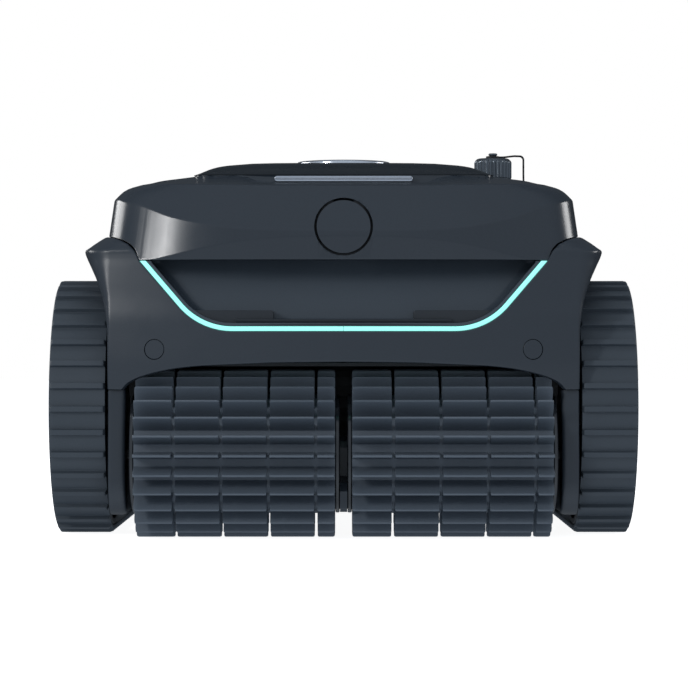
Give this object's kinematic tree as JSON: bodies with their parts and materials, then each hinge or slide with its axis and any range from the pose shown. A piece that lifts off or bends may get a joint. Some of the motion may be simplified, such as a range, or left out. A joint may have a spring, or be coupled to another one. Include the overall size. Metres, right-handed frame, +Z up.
{
  "type": "robotic pool cleaner",
  "caption": "Cordless tracked pool cleaner: dark sealed hull with a top lid and front latch, light strip, belts over wheels and a split roller brush in front.",
  "frame": {"origin": "on the ground under the middle of the machine's bounding box", "axes": "+Z up, the front with the brush faces -Y, +X is the machine's left-hand side seen from the front on the right"},
  "size_m": [0.435, 0.448, 0.294],
  "materials": {
    "shell_plastic": "dark slate plastic, satin gloss",
    "dark_plastic": "near-black moulded plastic",
    "tread_rubber": "dark slate rubber with moulded cleats",
    "brush_rubber": "dark slate soft rubber",
    "gloss_plastic": "glossy black plastic",
    "light_strip": "mint light guide",
    "silver_trim": "satin silver trim",
    "steel": "steel",
    "nylon_gear": "off-white nylon",
    "filter_screen": "fine grey mesh",
    "battery_wrap": "blue heat-shrink wrap",
    "seal_rubber": "black rubber"
  },
  "bodies": {
    "hull": {"chassis_tub": "dark_plastic", "bottom_plate": "dark_plastic", "side_plate_left": "shell_plastic", "side_plate_right": "shell_plastic", "gear_cover_left": "dark_plastic", "gear_cover_right": "dark_plastic", "lower_shell": "shell_plastic", "upper_shell": "shell_plastic", "grip_recess": "shell_plastic", "light_strip": "light_strip", "screw_cover_left": "shell_plastic", "screw_cover_right": "shell_plastic", "button_housing": "dark_plastic", "latch_spring": "steel", "lid_hinge_pin": "steel", "outlet_housing": "shell_plastic", "outlet_ring": "silver_trim", "outlet_grille": "dark_plastic", "pump_motor": "dark_plastic", "filter_basket": "dark_plastic", "filter_screen": "filter_screen", "control_box": "dark_plastic", "battery_pack": "battery_wrap", "charge_port": "gloss_plastic", "cap_tether": "seal_rubber", "drive_motor_left": "dark_plastic", "drive_motor_right": "dark_plastic", "tread_belt_left": "tread_rubber", "tread_belt_right": "tread_rubber", "front_axle": "steel", "brush_bracket": "shell_plastic", "rear_bumper": "tread_rubber"},
    "lid_body": {"lid": "shell_plastic", "lid_grip": "silver_trim", "lid_catch": "dark_plastic", "lid_seal": "seal_rubber"},
    "latch": {"latch_button": "shell_plastic", "latch_bar": "dark_plastic"},
    "pump_propeller": {"propeller": "dark_plastic"},
    "charge_cap": {"port_cap": "gloss_plastic"},
    "flap_left": {"intake_flap_left": "seal_rubber"},
    "front_wheel_left": {"wheel_front_left": "dark_plastic", "hub_cap_front_left": "gloss_plastic", "wheel_gear_left": "nylon_gear"},
    "rear_wheel_left": {"wheel_rear_left": "dark_plastic", "hub_cap_rear_left": "gloss_plastic"},
    "idler_left": {"idler_gear_left": "nylon_gear"},
    "brush_left": {"brush_gear_left": "nylon_gear", "brush_core_left": "gloss_plastic", "brush_sleeve_left": "brush_rubber"},
    "flap_right": {"intake_flap_right": "seal_rubber"},
    "front_wheel_right": {"wheel_front_right": "dark_plastic", "hub_cap_front_right": "gloss_plastic", "wheel_gear_right": "nylon_gear"},
    "rear_wheel_right": {"wheel_rear_right": "dark_plastic", "hub_cap_rear_right": "gloss_plastic"},
    "idler_right": {"idler_gear_right": "nylon_gear"},
    "brush_right": {"brush_gear_right": "nylon_gear", "brush_core_right": "gloss_plastic", "brush_sleeve_right": "brush_rubber"}
  },
  "joints": [
    {"name": "lid_open", "type": "hinge", "parent": "hull", "child": "lid_body", "pos_m": [0, 0.003, 0.2735], "axis": [-1, 0, 0], "range_deg": [0, 75]},
    {"name": "latch_press", "type": "slide", "parent": "hull", "child": "latch", "axis": [0, 1, 0], "range_m": [0, 0.0025], "stiffness_N_per_m": 400, "springref_m": -0.003, "deforming": ["latch_spring"]},
    {"name": "propeller_spin", "type": "hinge", "parent": "hull", "child": "pump_propeller", "pos_m": [0, 0.055, 0.239], "axis": [0, 0, 1], "continuous": true},
    {"name": "charge_cap_twist", "type": "hinge", "parent": "hull", "child": "charge_cap", "pos_m": [0.119, 0.018, 0.28], "axis": [0, 0, 1], "range_deg": [0, 90]},
    {"name": "intake_flap_left_swing", "type": "hinge", "parent": "hull", "child": "flap_left", "pos_m": [0, -0.051, 0.0452], "axis": [-1, 0, 0], "range_deg": [0, 60]},
    {"name": "front_wheel_left_spin", "type": "hinge", "parent": "hull", "child": "front_wheel_left", "pos_m": [0, -0.0975, 0.095], "axis": [1, 0, 0], "continuous": true},
    {"name": "rear_wheel_left_spin", "type": "hinge", "parent": "hull", "child": "rear_wheel_left", "pos_m": [0, 0.1175, 0.095], "axis": [1, 0, 0], "continuous": true},
    {"name": "idler_left_spin", "type": "hinge", "parent": "hull", "child": "idler_left", "pos_m": [0, -0.13443, 0.06929], "axis": [1, 0, 0], "continuous": true},
    {"name": "brush_left_spin", "type": "hinge", "parent": "hull", "child": "brush_left", "pos_m": [0, -0.1625, 0.062], "axis": [1, 0, 0], "continuous": true},
    {"name": "intake_flap_right_swing", "type": "hinge", "parent": "hull", "child": "flap_right", "pos_m": [0, -0.051, 0.0452], "axis": [-1, 0, 0], "range_deg": [0, 60]},
    {"name": "front_wheel_right_spin", "type": "hinge", "parent": "hull", "child": "front_wheel_right", "pos_m": [0, -0.0975, 0.095], "axis": [1, 0, 0], "continuous": true},
    {"name": "rear_wheel_right_spin", "type": "hinge", "parent": "hull", "child": "rear_wheel_right", "pos_m": [0, 0.1175, 0.095], "axis": [1, 0, 0], "continuous": true},
    {"name": "idler_right_spin", "type": "hinge", "parent": "hull", "child": "idler_right", "pos_m": [0, -0.13443, 0.06929], "axis": [1, 0, 0], "continuous": true},
    {"name": "brush_right_spin", "type": "hinge", "parent": "hull", "child": "brush_right", "pos_m": [0, -0.1625, 0.062], "axis": [1, 0, 0], "continuous": true}
  ],
  "couplings": [
    {"joint": "rear_wheel_left_spin", "follows": "front_wheel_left_spin", "ratio": 1},
    {"joint": "idler_left_spin", "follows": "front_wheel_left_spin", "ratio": -2},
    {"joint": "brush_left_spin", "follows": "front_wheel_left_spin", "ratio": 2.1429},
    {"joint": "rear_wheel_right_spin", "follows": "front_wheel_right_spin", "ratio": 1},
    {"joint": "idler_right_spin", "follows": "front_wheel_right_spin", "ratio": -2},
    {"joint": "brush_right_spin", "follows": "front_wheel_right_spin", "ratio": 2.1429}
  ]
}
